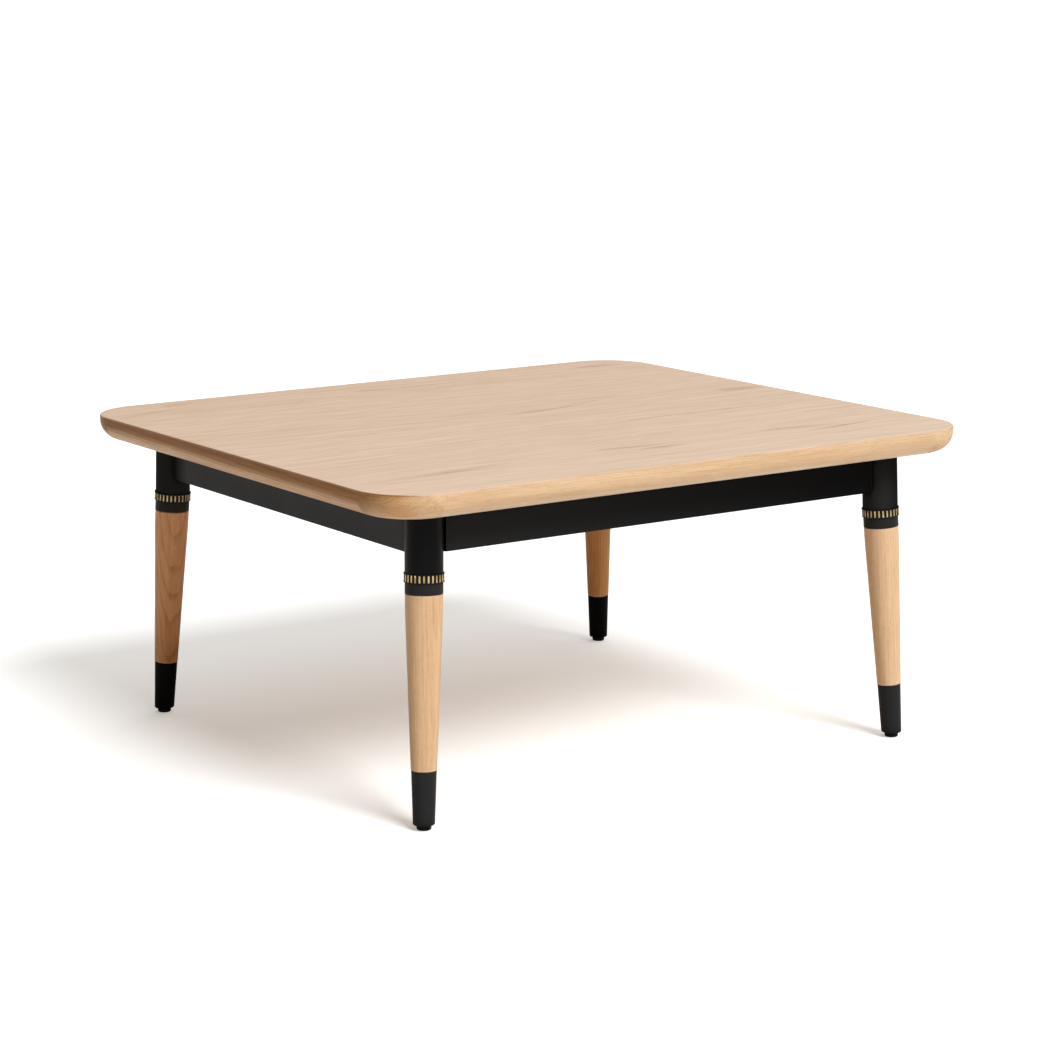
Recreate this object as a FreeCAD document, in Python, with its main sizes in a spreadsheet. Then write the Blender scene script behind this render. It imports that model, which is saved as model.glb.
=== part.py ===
import FreeCAD, Part
import math
import os
import Sketcher
from types import SimpleNamespace

# Low table: a rounded wooden top on a black frame, with four splayed turned legs.
# Millimetres, +Z up, +X along the long side, the origin on the floor under the middle of the top.
# Each leg and what is fitted to it stands on one leaning axis; heights on it are measured from the floor.
# The sleeve over a leg leans less than the leg does: their axes meet at the sleeve's lower end.

SIZES = {
    # Top: veneered core panel with a solid lipping that curves in below a straight edge.
    "top_width": 900,
    "top_depth": 800,
    "table_height": 420,
    "top_thickness": 33,
    "edge_flat": 7,
    "corner_radius": 75,
    "arris_round": 1.5,
    "lipping_width": 36,
    "face_veneer": 2,
    "back_veneer": 1,
    "glue_line": 0.1,
    # Legs: how far the feet stand in from the top's edges, and how far the legs lean outwards, along x and y.
    "foot_inset_x": 80.7,
    "foot_inset_y": 63.8,
    "splay_x": 2.6,
    "splay_y": 3,
    "fit_gap": 0.1,
    # Frame: rectangular tube rails welded to round sleeves, with a shadow gap beside each sleeve.
    "long_rail_height": 53.5,
    "short_rail_height": 56,
    "rail_thickness": 20,
    "rail_wall": 2,
    "rail_corner": 3,
    "rail_offset": 12.5,
    "shadow_gap": 3.4,
    "shadow_gap_depth": 5,
    "sleeve_splay_x": 1.3,
    "sleeve_splay_y": 1.5,
    "sleeve_radius": 23.2,
    "sleeve_wall": 2.5,
    "sleeve_drop": 76.8,
    "weld_gap": 0.15,
    # Corner plates and the screws that hold the top.
    "plate_reach": 95,
    "plate_land": 30,
    "plate_thickness": 3,
    "screw_edge": 15,
    "screw_radius": 2.2,
    "screw_length": 20,
    "screw_tip": 4,
    "screw_head_radius": 4.5,
    "screw_head_height": 3,
    "screw_socket_radius": 1.8,
    "screw_socket_depth": 1.8,
    "screw_hole_gap": 0.5,
    # Socket plug, whose flange shows as the rim under the sleeve.
    "plug_length": 26,
    "plug_rim": 1.4,
    "plug_rim_radius": 24.6,
    # Reeded brass ring.
    "ring_height": 8.6,
    "ring_radius": 24.2,
    "ring_bore": 20.5,
    "groove_count": 28,
    "groove_width": 3.4,
    "groove_depth": 1.6,
    # Collar on the upper end of the leg.
    "collar_rim": 1,
    "collar_rim_radius": 24.5,
    "collar_height": 14,
    "collar_radius": 23,
    # Turned wooden leg.
    "leg_top_radius": 22.8,
    "leg_foot_radius": 15.8,
    "leg_swell": 28,
    "leg_arris": 1.2,
    "tenon_radius": 17.5,
    "tenon_length": 9,
    "stud_radius": 5,
    "stud_in_leg": 50,
    "stud_in_plug": 22,
    "stud_chamfer": 1,
    # Ferrule, cut level with the floor.
    "ferrule_height": 65.5,
    "ferrule_top_radius": 15.4,
    "ferrule_foot_radius": 13.3,
    "ferrule_wall": 1.6,
    "ferrule_floor": 5,
    "ferrule_bevel": 0.8,
    "foot_trim": 2,
    # Threaded insert and screw-in glide.
    "insert_radius": 6.5,
    "insert_length": 28,
    "glide_height": 6.5,
    "glide_gap": 0.3,
    "pad_radius": 9,
    "pad_round": 2,
    "stem_radius": 4,
    "stem_length": 28,
    "stem_gap": 0.3,
    "bore_end_gap": 2,
}

# Corners by name: the signs of x and y there. The front is the -Y side.
CORNERS = {
    "front_left": (-1, -1),
    "front_right": (1, -1),
    "back_right": (1, 1),
    "back_left": (-1, 1),
}
# Sides by name, in the order of quarter turns from the front.
SIDES = ["front", "right", "back", "left"]
TINY = 1e-4


class Size:
    """A size from the sheet, or one worked out from others: its formula and its present number."""

    def __init__(self, formula, number):
        self.formula = formula
        self.number = number

    def __add__(self, other):
        other = as_size(other)
        return Size(f"({self.formula} + {other.formula})", self.number + other.number)

    def __sub__(self, other):
        other = as_size(other)
        return Size(f"({self.formula} - {other.formula})", self.number - other.number)

    def __mul__(self, other):
        other = as_size(other)
        return Size(f"({self.formula} * {other.formula})", self.number * other.number)

    def __truediv__(self, other):
        other = as_size(other)
        return Size(f"({self.formula} / {other.formula})", self.number / other.number)

    def __neg__(self):
        return Size(f"(0 - {self.formula})", -self.number)


def as_size(value):
    if isinstance(value, Size):
        return value
    return Size(str(value), float(value))


def tangent(angle):
    return Size(f"tan({angle.formula})", math.tan(math.radians(angle.number)))


def root(value):
    return Size(f"sqrt({value.formula})", math.sqrt(value.number))


def write_sheet(sheet):
    """Fill the sheet and give back its sizes by name."""
    sizes = {}
    for row, (alias, number) in enumerate(SIZES.items(), start=1):
        sheet.set(f"A{row}", alias)
        sheet.set(f"B{row}", str(number))
        sheet.setAlias(f"B{row}", alias)
        sizes[alias] = Size(f"Sizes.{alias}", float(number))
    return SimpleNamespace(**sizes)


doc = FreeCAD.newDocument("LowTable")
d = write_sheet(doc.addObject("Spreadsheet::Sheet", "Sizes"))
doc.recompute()
nodes = {}

# Heights and places worked out from the sheet.
underside = d.table_height - d.top_thickness
edge_radius = d.top_thickness - d.edge_flat
lean_x = tangent(d.splay_x)
lean_y = tangent(d.splay_y)
foot_x = d.top_width / 2 - d.foot_inset_x
foot_y = d.top_depth / 2 - d.foot_inset_y

# Heights along a leg's axis, from the top down. The axis is a little longer than the height that it spans.
stretch = root(lean_x * lean_x + lean_y * lean_y + 1)
sleeve_end = underside * stretch - d.sleeve_drop
ring_top = sleeve_end - d.plug_rim
ring_end = ring_top - d.ring_height
rim_end = ring_end - d.collar_rim
wood_top = rim_end - d.collar_height
foot_cut = d.glide_height * stretch
ferrule_top = foot_cut + d.ferrule_height
cup_floor = foot_cut + d.ferrule_floor
stud_bore = d.stud_radius + d.fit_gap

# The sleeves: where their axes pass the middle of the rails, and the rails' outer faces beside them.
sleeve_lean_x = tangent(d.sleeve_splay_x)
sleeve_lean_y = tangent(d.sleeve_splay_y)
seat_height = sleeve_end / stretch
rail_rise = underside - d.long_rail_height / 2 - seat_height
sleeve_x = foot_x - lean_x * seat_height - sleeve_lean_x * rail_rise
sleeve_y = foot_y - lean_y * seat_height - sleeve_lean_y * rail_rise
rail_x = sleeve_x + d.rail_offset
rail_y = sleeve_y + d.rail_offset


def bind(thing, prop, size):
    thing.setExpression(prop, as_size(size).formula)


def place(x, y, z, quarter_turns=0):
    turn = FreeCAD.Rotation(FreeCAD.Vector(0, 0, 1), 90 * quarter_turns)
    return FreeCAD.Placement(FreeCAD.Vector(x, y, z), turn)


def leaning_place(corner, origin, towards_x, towards_y, height):
    """Frame whose Z leans inwards as it rises, its origin at a height on that axis above a point."""
    side_x, side_y = CORNERS[corner]
    axis = FreeCAD.Vector(-side_x * towards_x.number, -side_y * towards_y.number, 1)
    frame = FreeCAD.Placement(origin, FreeCAD.Rotation(FreeCAD.Vector(0, 0, 1), axis))
    frame.Base = frame.multVec(FreeCAD.Vector(0, 0, height))
    return frame


def leg_place(corner, height=0):
    """The leg's own frame, at a height on its axis above the floor."""
    side_x, side_y = CORNERS[corner]
    foot = FreeCAD.Vector(side_x * foot_x.number, side_y * foot_y.number, 0)
    return leaning_place(corner, foot, lean_x, lean_y, height)


def sleeve_place(corner, height=0):
    """The sleeve's own frame, at a height on its axis above the point where it meets the leg's axis."""
    seat = leg_place(corner, sleeve_end.number).Base
    return leaning_place(corner, seat, sleeve_lean_x, sleeve_lean_y, height)


def foot_place(corner, height):
    """Upright frame on the leg's axis where the ferrule is cut level."""
    side_x, side_y = CORNERS[corner]
    x = foot_x - lean_x * d.glide_height
    y = foot_y - lean_y * d.glide_height
    return place(side_x * x.number, side_y * y.number, height)


def keep(label, thing):
    """Name a finished sub-part; its label is its file's name."""
    thing.Label = label
    nodes[label] = thing
    return thing


def new_body(name, placement):
    body = doc.addObject("PartDesign::Body", name)
    body.Placement = placement
    return body


def new_sketch(body, name, plane):
    sketch = body.newObject("Sketcher::SketchObject", name)
    support = [item for item in body.Origin.OriginFeatures if item.Role == plane][0]
    sketch.AttachmentSupport = [(support, "")]
    sketch.MapMode = "FlatFace"
    return sketch


def tie(sketch, geometry, point, across, up):
    """Tie a point of the sketch to the sheet. A plain number is only a start and stays free."""
    for kind, size in (("DistanceX", across), ("DistanceY", up)):
        if isinstance(size, Size):
            rule = Sketcher.Constraint(kind, -1, 1, geometry, point, size.number)
            bind(sketch, f"Constraints[{sketch.addConstraint(rule)}]", size)


def outline(body, name, plane, corners, swell=None):
    """Closed outline through the corners. From the corner numbered swell it runs as an arc to the next one,
    tangent to the line before it and level at its end."""
    sketch = new_sketch(body, name, plane)
    points = [FreeCAD.Vector(as_size(a).number, as_size(b).number, 0) for a, b in corners]
    count = len(points)
    for i, start in enumerate(points):
        end = points[(i + 1) % count]
        if i == swell:
            sag = (end.x - start.x) / 4
            middle = (start + end) / 2 + FreeCAD.Vector(sag, 0, 0)
            sketch.addGeometry(Part.Arc(start, middle, end))
        else:
            sketch.addGeometry(Part.LineSegment(start, end))
    for i in range(count):
        if i + 1 == swell:
            sketch.addConstraint(Sketcher.Constraint("Tangent", i, 2, swell, 1))
        else:
            sketch.addConstraint(Sketcher.Constraint("Coincident", i, 2, (i + 1) % count, 1))
    if swell is not None:
        sketch.addConstraint(Sketcher.Constraint("Horizontal", swell, 3, swell, 2))
    for i, (across, up) in enumerate(corners):
        tie(sketch, i, 1, across, up)
    return sketch


def circles(body, name, plane, centres, radius):
    sketch = new_sketch(body, name, plane)
    for i, (across, up) in enumerate(centres):
        middle = FreeCAD.Vector(across.number, up.number, 0)
        sketch.addGeometry(Part.Circle(middle, FreeCAD.Vector(0, 0, 1), radius.number))
        tie(sketch, i, 3, across, up)
        rule = sketch.addConstraint(Sketcher.Constraint("Radius", i, radius.number))
        bind(sketch, f"Constraints[{rule}]", radius)
    return sketch


def rectangle(left, low, right, high):
    return [(left, low), (right, low), (right, high), (left, high)]


def pad(body, sketch, length, both_ways=False):
    feature = body.newObject("PartDesign::Pad", f"{body.Name}_pad")
    feature.Profile = sketch
    if both_ways:
        feature.SideType = "Symmetric"
    bind(feature, "Length", length)
    body.Tip = feature
    return feature


def pocket_through(body, sketch):
    """Cut right through the body, both ways from the sketch."""
    doc.recompute()
    before = body.Shape.Volume
    feature = body.newObject("PartDesign::Pocket", f"{body.Name}_pocket")
    feature.Profile = sketch
    feature.Type = "ThroughAll"
    feature.SideType = "Symmetric"
    body.Tip = feature
    doc.recompute()
    if body.Shape.Volume > before - TINY:
        raise RuntimeError(f"{body.Name}: the pocket cuts nothing")
    return feature


def round_edges(body, feature, test, radius):
    """Round those edges of a feature that pass the test."""
    doc.recompute()
    chosen = [f"Edge{i}" for i, edge in enumerate(feature.Shape.Edges, start=1) if test(edge)]
    fillet = body.newObject("PartDesign::Fillet", f"{feature.Name}_round")
    fillet.Base = (feature, chosen)
    bind(fillet, "Radius", radius)
    body.Tip = fillet
    return fillet


def is_upright(edge):
    box = edge.BoundBox
    return box.XLength < TINY and box.YLength < TINY


def is_along_x(edge):
    box = edge.BoundBox
    return box.YLength < TINY and box.ZLength < TINY


def lies_at(height):
    return lambda edge: abs(edge.BoundBox.ZMin - height) < TINY and abs(edge.BoundBox.ZMax - height) < TINY


def turned(name, corners, placement, swell=None):
    """Body turned about its own Z from an outline of (radius, height) corners."""
    body = new_body(name, placement)
    sketch = outline(body, f"{name}_outline", "XZ_Plane", corners, swell)
    feature = body.newObject("PartDesign::Revolution", f"{name}_turn")
    feature.Profile = sketch
    feature.ReferenceAxis = (sketch, ["V_Axis"])
    feature.Angle = 360
    body.Tip = feature
    return body


def cylinder(name, radius, height, placement):
    rod = doc.addObject("Part::Cylinder", name)
    bind(rod, "Radius", radius)
    bind(rod, "Height", height)
    rod.Placement = placement
    return rod


def cut(name, base, tool):
    result = doc.addObject("Part::Cut", name)
    result.Base = base
    result.Tool = tool
    return result


def common(name, first, second):
    result = doc.addObject("Part::Common", name)
    result.Base = first
    result.Tool = second
    return result


def fuse(name, first, second):
    result = doc.addObject("Part::Fuse", name)
    result.Base = first
    result.Tool = second
    return result


def group(name, things):
    result = doc.addObject("Part::Compound", name)
    result.Links = things
    return result


def panel(name, inset, thickness, height):
    """Flat panel with the top's rounded outline, set in from it all round; height is its lower face."""
    body = new_body(name, place(0, 0, height.number))
    half_x = d.top_width / 2 - inset
    half_y = d.top_depth / 2 - inset
    sketch = outline(body, f"{name}_outline", "XY_Plane", rectangle(-half_x, -half_y, half_x, half_y))
    blank = pad(body, sketch, thickness)
    round_edges(body, blank, is_upright, d.corner_radius - inset)
    return body


def face_veneer():
    body = panel("face_veneer", as_size(0), d.face_veneer, d.table_height - d.face_veneer)
    doc.recompute()
    round_edges(body, body.Tip, lies_at(d.face_veneer.number), d.arris_round)
    return keep("face_veneer", body)


def core_and_back_veneer(pilot_holes):
    """The core fills the lipping's frame; its back veneer lies flush with the lipping below."""
    inset = d.lipping_width + d.glue_line
    thickness = d.top_thickness - d.face_veneer - d.back_veneer
    back = panel("back_veneer_blank", inset, d.back_veneer, underside)
    core = panel("core_panel_blank", inset, thickness, underside + d.back_veneer)
    keep("back_veneer", cut("back_veneer", back, pilot_holes))
    keep("core_panel", cut("core_panel", core, pilot_holes))


def lipping_height():
    return d.top_thickness - d.face_veneer


def straight_lipping(side):
    """Solid edge along one side, straight for the edge flat and then curving in to the underside."""
    turns = SIDES.index(side)
    along_x = turns % 2 == 0
    length = (d.top_width if along_x else d.top_depth) - d.corner_radius * 2
    reach = (d.top_depth if along_x else d.top_width).number / 2
    middle = FreeCAD.Rotation(FreeCAD.Vector(0, 0, 1), 90 * turns).multVec(FreeCAD.Vector(0, -reach, 0))
    body = new_body(f"lipping_{side}", place(middle.x, middle.y, underside.number, turns))
    section = rectangle(as_size(0), as_size(0), d.lipping_width, lipping_height())
    blank = pad(body, outline(body, f"{body.Name}_section", "YZ_Plane", section), length, both_ways=True)
    round_edges(body, blank, lambda edge: is_along_x(edge) and edge.BoundBox.YMax < TINY > edge.BoundBox.ZMax,
                edge_radius)
    return keep(f"lipping_{side}", body)


def corner_lipping(corner, turns):
    """The same section turned a quarter round the corner's centre, which lies inwards of it."""
    side_x, side_y = CORNERS[corner]
    x = side_x * (d.top_width / 2 - d.corner_radius).number
    y = side_y * (d.top_depth / 2 - d.corner_radius).number
    body = new_body(f"lipping_corner_{corner}", place(x, y, underside.number, turns + 2))
    section = rectangle(d.corner_radius - d.lipping_width, as_size(0), d.corner_radius, lipping_height())
    sketch = outline(body, f"{body.Name}_section", "XZ_Plane", section)
    blank = body.newObject("PartDesign::Revolution", f"{body.Name}_turn")
    blank.Profile = sketch
    blank.ReferenceAxis = (sketch, ["V_Axis"])
    blank.Angle = 90
    body.Tip = blank
    round_edges(body, blank, lambda edge: lies_at(0)(edge) and is_outer_arc(edge), edge_radius)
    return keep(f"lipping_corner_{corner}", body)


def is_outer_arc(edge):
    return hasattr(edge.Curve, "Radius") and abs(edge.Curve.Radius - d.corner_radius.number) < TINY


def rail(side, spaces):
    """Rectangular tube between two sleeves, its ends coped to them. Beside each sleeve the outer part of the
    tube stops short and leaves a shadow gap."""
    turns = SIDES.index(side)
    along_x = turns % 2 == 0
    length = (sleeve_x if along_x else sleeve_y) * 2
    height = d.long_rail_height if along_x else d.short_rail_height
    reach = (rail_y if along_x else rail_x).number
    middle = FreeCAD.Rotation(FreeCAD.Vector(0, 0, 1), 90 * turns).multVec(FreeCAD.Vector(0, -reach, 0))
    here = place(middle.x, middle.y, (underside - height).number, turns)
    body = new_body(f"rail_{side}_blank", here)
    outer = rectangle(as_size(0), as_size(0), d.rail_thickness, height)
    inner = rectangle(d.rail_wall, d.rail_wall, d.rail_thickness - d.rail_wall, height - d.rail_wall)
    tube = pad(body, outline(body, f"{body.Name}_section", "YZ_Plane", outer), length, both_ways=True)
    round_edges(body, tube, is_along_x, d.rail_corner)
    pocket_through(body, outline(body, f"{body.Name}_bore", "YZ_Plane", inner))
    result = body
    for corner in (list(CORNERS) * 2)[turns:turns + 2]:
        gap = sleeve_space(f"{corner}_{side}_gap", corner, d.shadow_gap)
        outside = common(f"{gap.Name}_outside", gap, outer_slab(f"{gap.Name}_slab", here, length, height))
        coped = cut(f"rail_{side}_coped_{corner}", result, spaces[corner])
        result = cut(f"rail_{side}_{corner}", coped, outside)
    return keep(f"rail_{side}", result)


def outer_slab(name, rail_place, length, height):
    """Slab that covers the outer part of a rail, as deep as the shadow gaps."""
    slab = doc.addObject("Part::Box", name)
    bind(slab, "Length", length)
    bind(slab, "Width", d.shadow_gap_depth * 2)
    bind(slab, "Height", height * 2)
    slab.Placement = rail_place.multiply(
        place(-length.number / 2, -d.shadow_gap_depth.number, -height.number / 2))
    return slab


def sleeve_space(name, corner, gap):
    """Room for a sleeve and a gap round it, from its lower end up past the top."""
    return cylinder(f"sleeve_space_{name}", d.sleeve_radius + gap, d.sleeve_drop * 2, sleeve_place(corner))


def room_under(name, corner, height):
    """The space round a leg's axis, from the floor to a height on that axis."""
    return cylinder(f"{name}_{corner}", d.sleeve_radius * 2, height, leg_place(corner))


def sleeve(corner, room_above):
    """Tube for the leg's plug, cut level under the top and square to the leg at its lower end."""
    frame = sleeve_place(corner, -d.sleeve_radius.number)
    length = d.sleeve_drop * 2
    outside = cylinder(f"sleeve_{corner}_outside", d.sleeve_radius, length, frame)
    inside = cylinder(f"sleeve_{corner}_inside", d.sleeve_radius - d.sleeve_wall, length, frame)
    tube = cut(f"sleeve_{corner}_tube", outside, inside)
    level = cut(f"sleeve_{corner}_level", tube, room_above)
    square = cut(f"sleeve_{corner}", level, room_under("sleeve_end", corner, sleeve_end))
    return keep(f"sleeve_{corner}", square)


def top_room():
    """The space above the underside of the top."""
    room = doc.addObject("Part::Box", "top_room")
    bind(room, "Length", d.top_width)
    bind(room, "Width", d.top_depth)
    bind(room, "Height", d.table_height)
    room.Placement = place(-d.top_width.number / 2, -d.top_depth.number / 2, underside.number)
    return room


def plate_place(corner, turns, height):
    """Frame at the meeting of two rails' inner faces, its X and Y along them."""
    side_x, side_y = CORNERS[corner]
    x = side_x * (rail_x - d.rail_thickness).number
    y = side_y * (rail_y - d.rail_thickness).number
    return place(x, y, height, turns)


def screw_spots():
    """Centres of a corner plate's two screws."""
    near = d.plate_land / 2
    far = d.plate_reach - d.screw_edge
    return [(far, near), (near, far)]


def corner_plate(corner, turns, space):
    """Flat plate in the frame's corner, coped to the sleeve, with two screw holes."""
    height = underside - d.plate_thickness
    body = new_body(f"corner_plate_{corner}_blank", plate_place(corner, turns, height.number))
    zero = as_size(0)
    edge = [
        (zero, zero),
        (d.plate_reach, zero),
        (d.plate_reach, d.plate_land),
        (d.plate_land, d.plate_reach),
        (zero, d.plate_reach),
    ]
    pad(body, outline(body, f"{body.Name}_outline", "XY_Plane", edge), d.plate_thickness)
    hole = d.screw_radius + d.screw_hole_gap
    pocket_through(body, circles(body, f"{body.Name}_holes", "XY_Plane", screw_spots(), hole))
    return keep(f"corner_plate_{corner}", cut(f"corner_plate_{corner}", body, space))


def at_screws(height):
    """Names and placements of the eight screws, at one height."""
    for turns, corner in enumerate(CORNERS):
        base = plate_place(corner, turns, height)
        for i, (across, up) in enumerate(screw_spots(), start=1):
            spot = base.multVec(FreeCAD.Vector(across.number, up.number, 0))
            yield f"{corner}_{i}", place(spot.x, spot.y, spot.z)


def pilot_holes():
    depth = d.screw_length - d.plate_thickness + d.bore_end_gap
    radius = d.screw_radius + d.fit_gap
    return group("pilot_holes", [cylinder(f"pilot_{name}", radius, depth, spot)
                                 for name, spot in at_screws(underside.number)])


def screw(name, spot, corners):
    """Pan-head screw with a hexagon socket."""
    blank = turned(f"screw_{name}_blank", corners, spot)
    socket = doc.addObject("Part::Prism", f"screw_{name}_socket")
    bind(socket, "Circumradius", d.screw_socket_radius)
    bind(socket, "Height", d.screw_socket_depth * 2)
    low = d.screw_head_height + d.screw_socket_depth
    socket.Placement = place(spot.Base.x, spot.Base.y, spot.Base.z - low.number)
    return cut(f"screw_{name}", blank, socket)


def top_screws():
    """The screws, driven up through the corner plates into the core."""
    zero = as_size(0)
    corners = [
        (zero, -d.screw_head_height),
        (d.screw_head_radius / 2, -d.screw_head_height),
        (d.screw_head_radius, -d.screw_head_height / 2),
        (d.screw_head_radius, zero),
        (d.screw_radius, zero),
        (d.screw_radius, d.screw_length - d.screw_tip),
        (zero, d.screw_length),
    ]
    height = (underside - d.plate_thickness).number
    screws = [screw(name, spot, corners) for name, spot in at_screws(height)]
    return keep("top_screws", group("top_screws", screws))


def socket_plug(corner):
    """Plug between the sleeve and the leg: its body fits the sleeve, and its bore and its flange are square
    to the leg. The flange is the dark rim over the brass ring."""
    name = f"socket_plug_{corner}"
    inside = d.sleeve_radius - d.sleeve_wall - d.fit_gap
    low = sleeve_place(corner, -d.plug_length.number)
    body = cylinder(f"{name}_body", inside, d.plug_length * 2, low)
    flange = cylinder(f"{name}_flange", d.plug_rim_radius, d.plug_rim, leg_place(corner, ring_top.number))
    blank = fuse(f"{name}_blank", body, flange)
    flat = cut(f"{name}_flat", blank, room_under("ring_top", corner, ring_top))
    bore = cylinder(f"{name}_bore", stud_bore, sleeve_end + d.plug_length * 2, leg_place(corner))
    return keep(name, cut(name, flat, bore))


def brass_ring(corner):
    """Brass ring whose rim is milled into reeds: one groove, repeated round the axis."""
    corners = rectangle(d.ring_bore, ring_end, d.ring_radius, ring_top)
    body = turned(f"brass_ring_{corner}", corners, leg_place(corner))
    half = d.groove_width / 2
    floor = d.ring_radius - d.groove_depth
    past_rim = d.ring_radius + d.groove_depth
    slot = outline(body, f"{body.Name}_slot", "XY_Plane", rectangle(floor, -half, past_rim, half))
    groove = pocket_through(body, slot)
    reeds = body.newObject("PartDesign::PolarPattern", f"{body.Name}_reeds")
    reeds.Originals = [groove]
    reeds.Axis = (slot, ["N_Axis"])
    reeds.Angle = 360
    bind(reeds, "Occurrences", d.groove_count)
    body.Tip = reeds
    return keep(f"brass_ring_{corner}", body)


def collar(corner):
    """Black cap on the leg: a cup for the leg's tenon, a rim under the brass ring and a hub inside it."""
    hub = d.ring_bore - d.fit_gap
    cup = d.tenon_radius + d.fit_gap
    cup_top = wood_top + d.tenon_length + d.fit_gap
    hub_top = ring_top - d.fit_gap
    corners = [
        (cup, wood_top),
        (d.collar_radius, wood_top),
        (d.collar_radius, rim_end),
        (d.collar_rim_radius, rim_end),
        (d.collar_rim_radius, ring_end),
        (hub, ring_end),
        (hub, hub_top),
        (stud_bore, hub_top),
        (stud_bore, cup_top),
        (cup, cup_top),
    ]
    return keep(f"collar_{corner}", turned(f"collar_{corner}", corners, leg_place(corner)))


def wooden_leg(corner, foot_bore):
    """Turned leg: a straight taper that swells into the parallel top, with a tenon, a tip and two bores."""
    zero = as_size(0)
    tip = d.ferrule_foot_radius - d.ferrule_wall - d.fit_gap
    tip_top = d.ferrule_top_radius - d.ferrule_wall - d.fit_gap
    taper_top = wood_top - d.leg_arris - d.leg_swell
    taper = (d.leg_top_radius - d.leg_foot_radius) / (taper_top - ferrule_top + d.leg_swell / 2)
    swell_start = (d.leg_top_radius - taper * d.leg_swell / 2).number
    stud_end = wood_top - d.stud_in_leg - d.fit_gap
    corners = [
        (zero, cup_floor + d.fit_gap),
        (tip, cup_floor + d.fit_gap),
        (tip_top, ferrule_top),
        (d.leg_foot_radius - d.leg_arris, ferrule_top),
        (d.leg_foot_radius, ferrule_top + d.leg_arris),
        (swell_start, taper_top),
        (d.leg_top_radius, wood_top - d.leg_arris),
        (d.leg_top_radius - d.leg_arris, wood_top),
        (d.tenon_radius, wood_top),
        (d.tenon_radius, wood_top + d.tenon_length),
        (stud_bore, wood_top + d.tenon_length),
        (stud_bore, stud_end),
        (zero, stud_end),
    ]
    body = turned(f"leg_{corner}_blank", corners, leg_place(corner), swell=5)
    return keep(f"leg_{corner}", cut(f"leg_{corner}", body, foot_bore))


def leg_stud(corner):
    """Stud that screws the leg and its collar into the socket plug."""
    low = wood_top - d.stud_in_leg
    high = sleeve_end + d.stud_in_plug
    zero = as_size(0)
    corners = [
        (zero, low),
        (d.stud_radius - d.stud_chamfer, low),
        (d.stud_radius, low + d.stud_chamfer),
        (d.stud_radius, high - d.stud_chamfer),
        (d.stud_radius - d.stud_chamfer, high),
        (zero, high),
    ]
    return turned(f"stud_{corner}", corners, leg_place(corner))


def ferrule(corner, foot_bore, floor_room):
    """Tapered metal cup on the leg's tip, cut level with the floor and bevelled there."""
    low = foot_cut - d.foot_trim
    zero = as_size(0)
    corners = [
        (zero, low),
        (d.ferrule_foot_radius, low),
        (d.ferrule_top_radius, ferrule_top),
        (d.ferrule_top_radius - d.ferrule_wall, ferrule_top),
        (d.ferrule_foot_radius - d.ferrule_wall, cup_floor),
        (zero, cup_floor),
    ]
    blank = turned(f"ferrule_{corner}_blank", corners, leg_place(corner))
    level = cut(f"ferrule_{corner}_level", blank, floor_room)
    bored = cut(f"ferrule_{corner}_bored", level, foot_bore)
    doc.recompute()
    bevel = doc.addObject("Part::Chamfer", f"ferrule_{corner}")
    bevel.Base = bored
    at_foot = lies_at(d.glide_height.number)
    rim = max((edge.Length, i) for i, edge in enumerate(bored.Shape.Edges, start=1) if at_foot(edge))
    bevel.Edges = [(rim[1], d.ferrule_bevel.number, d.ferrule_bevel.number)]
    return keep(f"ferrule_{corner}", bevel)


def floor_room():
    """The space below the level of the ferrules' feet."""
    room = doc.addObject("Part::Box", "floor_room")
    bind(room, "Length", d.top_width)
    bind(room, "Width", d.top_depth)
    bind(room, "Height", d.table_height)
    depth = d.glide_height.number - d.table_height.number
    room.Placement = place(-d.top_width.number / 2, -d.top_depth.number / 2, depth)
    return room


def foot_bore(corner):
    """Upright bore for the insert and the glide's stem."""
    depth = d.stem_length + d.bore_end_gap
    radius = d.insert_radius + d.fit_gap
    return cylinder(f"foot_bore_{corner}", radius, depth, foot_place(corner, d.glide_height.number))


def foot_insert(corner):
    corners = rectangle(d.stem_radius + d.stem_gap, as_size(0), d.insert_radius, d.insert_length)
    return turned(f"insert_{corner}", corners, foot_place(corner, d.glide_height.number))


def glide(corner):
    """Levelling glide: a round pad on the floor and the stem that screws up into the insert."""
    pad_top = d.glide_height - d.glide_gap
    zero = as_size(0)
    corners = [
        (zero, zero),
        (d.pad_radius, zero),
        (d.pad_radius, pad_top),
        (d.stem_radius, pad_top),
        (d.stem_radius, pad_top + d.stem_length),
        (zero, pad_top + d.stem_length),
    ]
    body = turned(f"glide_{corner}", corners, foot_place(corner, 0))
    round_edges(body, body.Tip, lies_at(0), d.pad_round)
    return keep(f"glide_{corner}", body)


def build_top():
    face_veneer()
    core_and_back_veneer(pilot_holes())
    for side in SIDES:
        straight_lipping(side)
    for turns, corner in enumerate(CORNERS):
        corner_lipping(corner, turns)


def build_frame():
    spaces = {corner: sleeve_space(corner, corner, d.weld_gap) for corner in CORNERS}
    room_above = top_room()
    for side in SIDES:
        rail(side, spaces)
    for turns, corner in enumerate(CORNERS):
        sleeve(corner, room_above)
        corner_plate(corner, turns, spaces[corner])
    top_screws()


def build_legs():
    room_below = floor_room()
    for corner in CORNERS:
        bore = foot_bore(corner)
        socket_plug(corner)
        brass_ring(corner)
        collar(corner)
        wooden_leg(corner, bore)
        ferrule(corner, bore, room_below)
        glide(corner)
    keep("leg_studs", group("leg_studs", [leg_stud(corner) for corner in CORNERS]))
    keep("foot_inserts", group("foot_inserts", [foot_insert(corner) for corner in CORNERS]))


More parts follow.
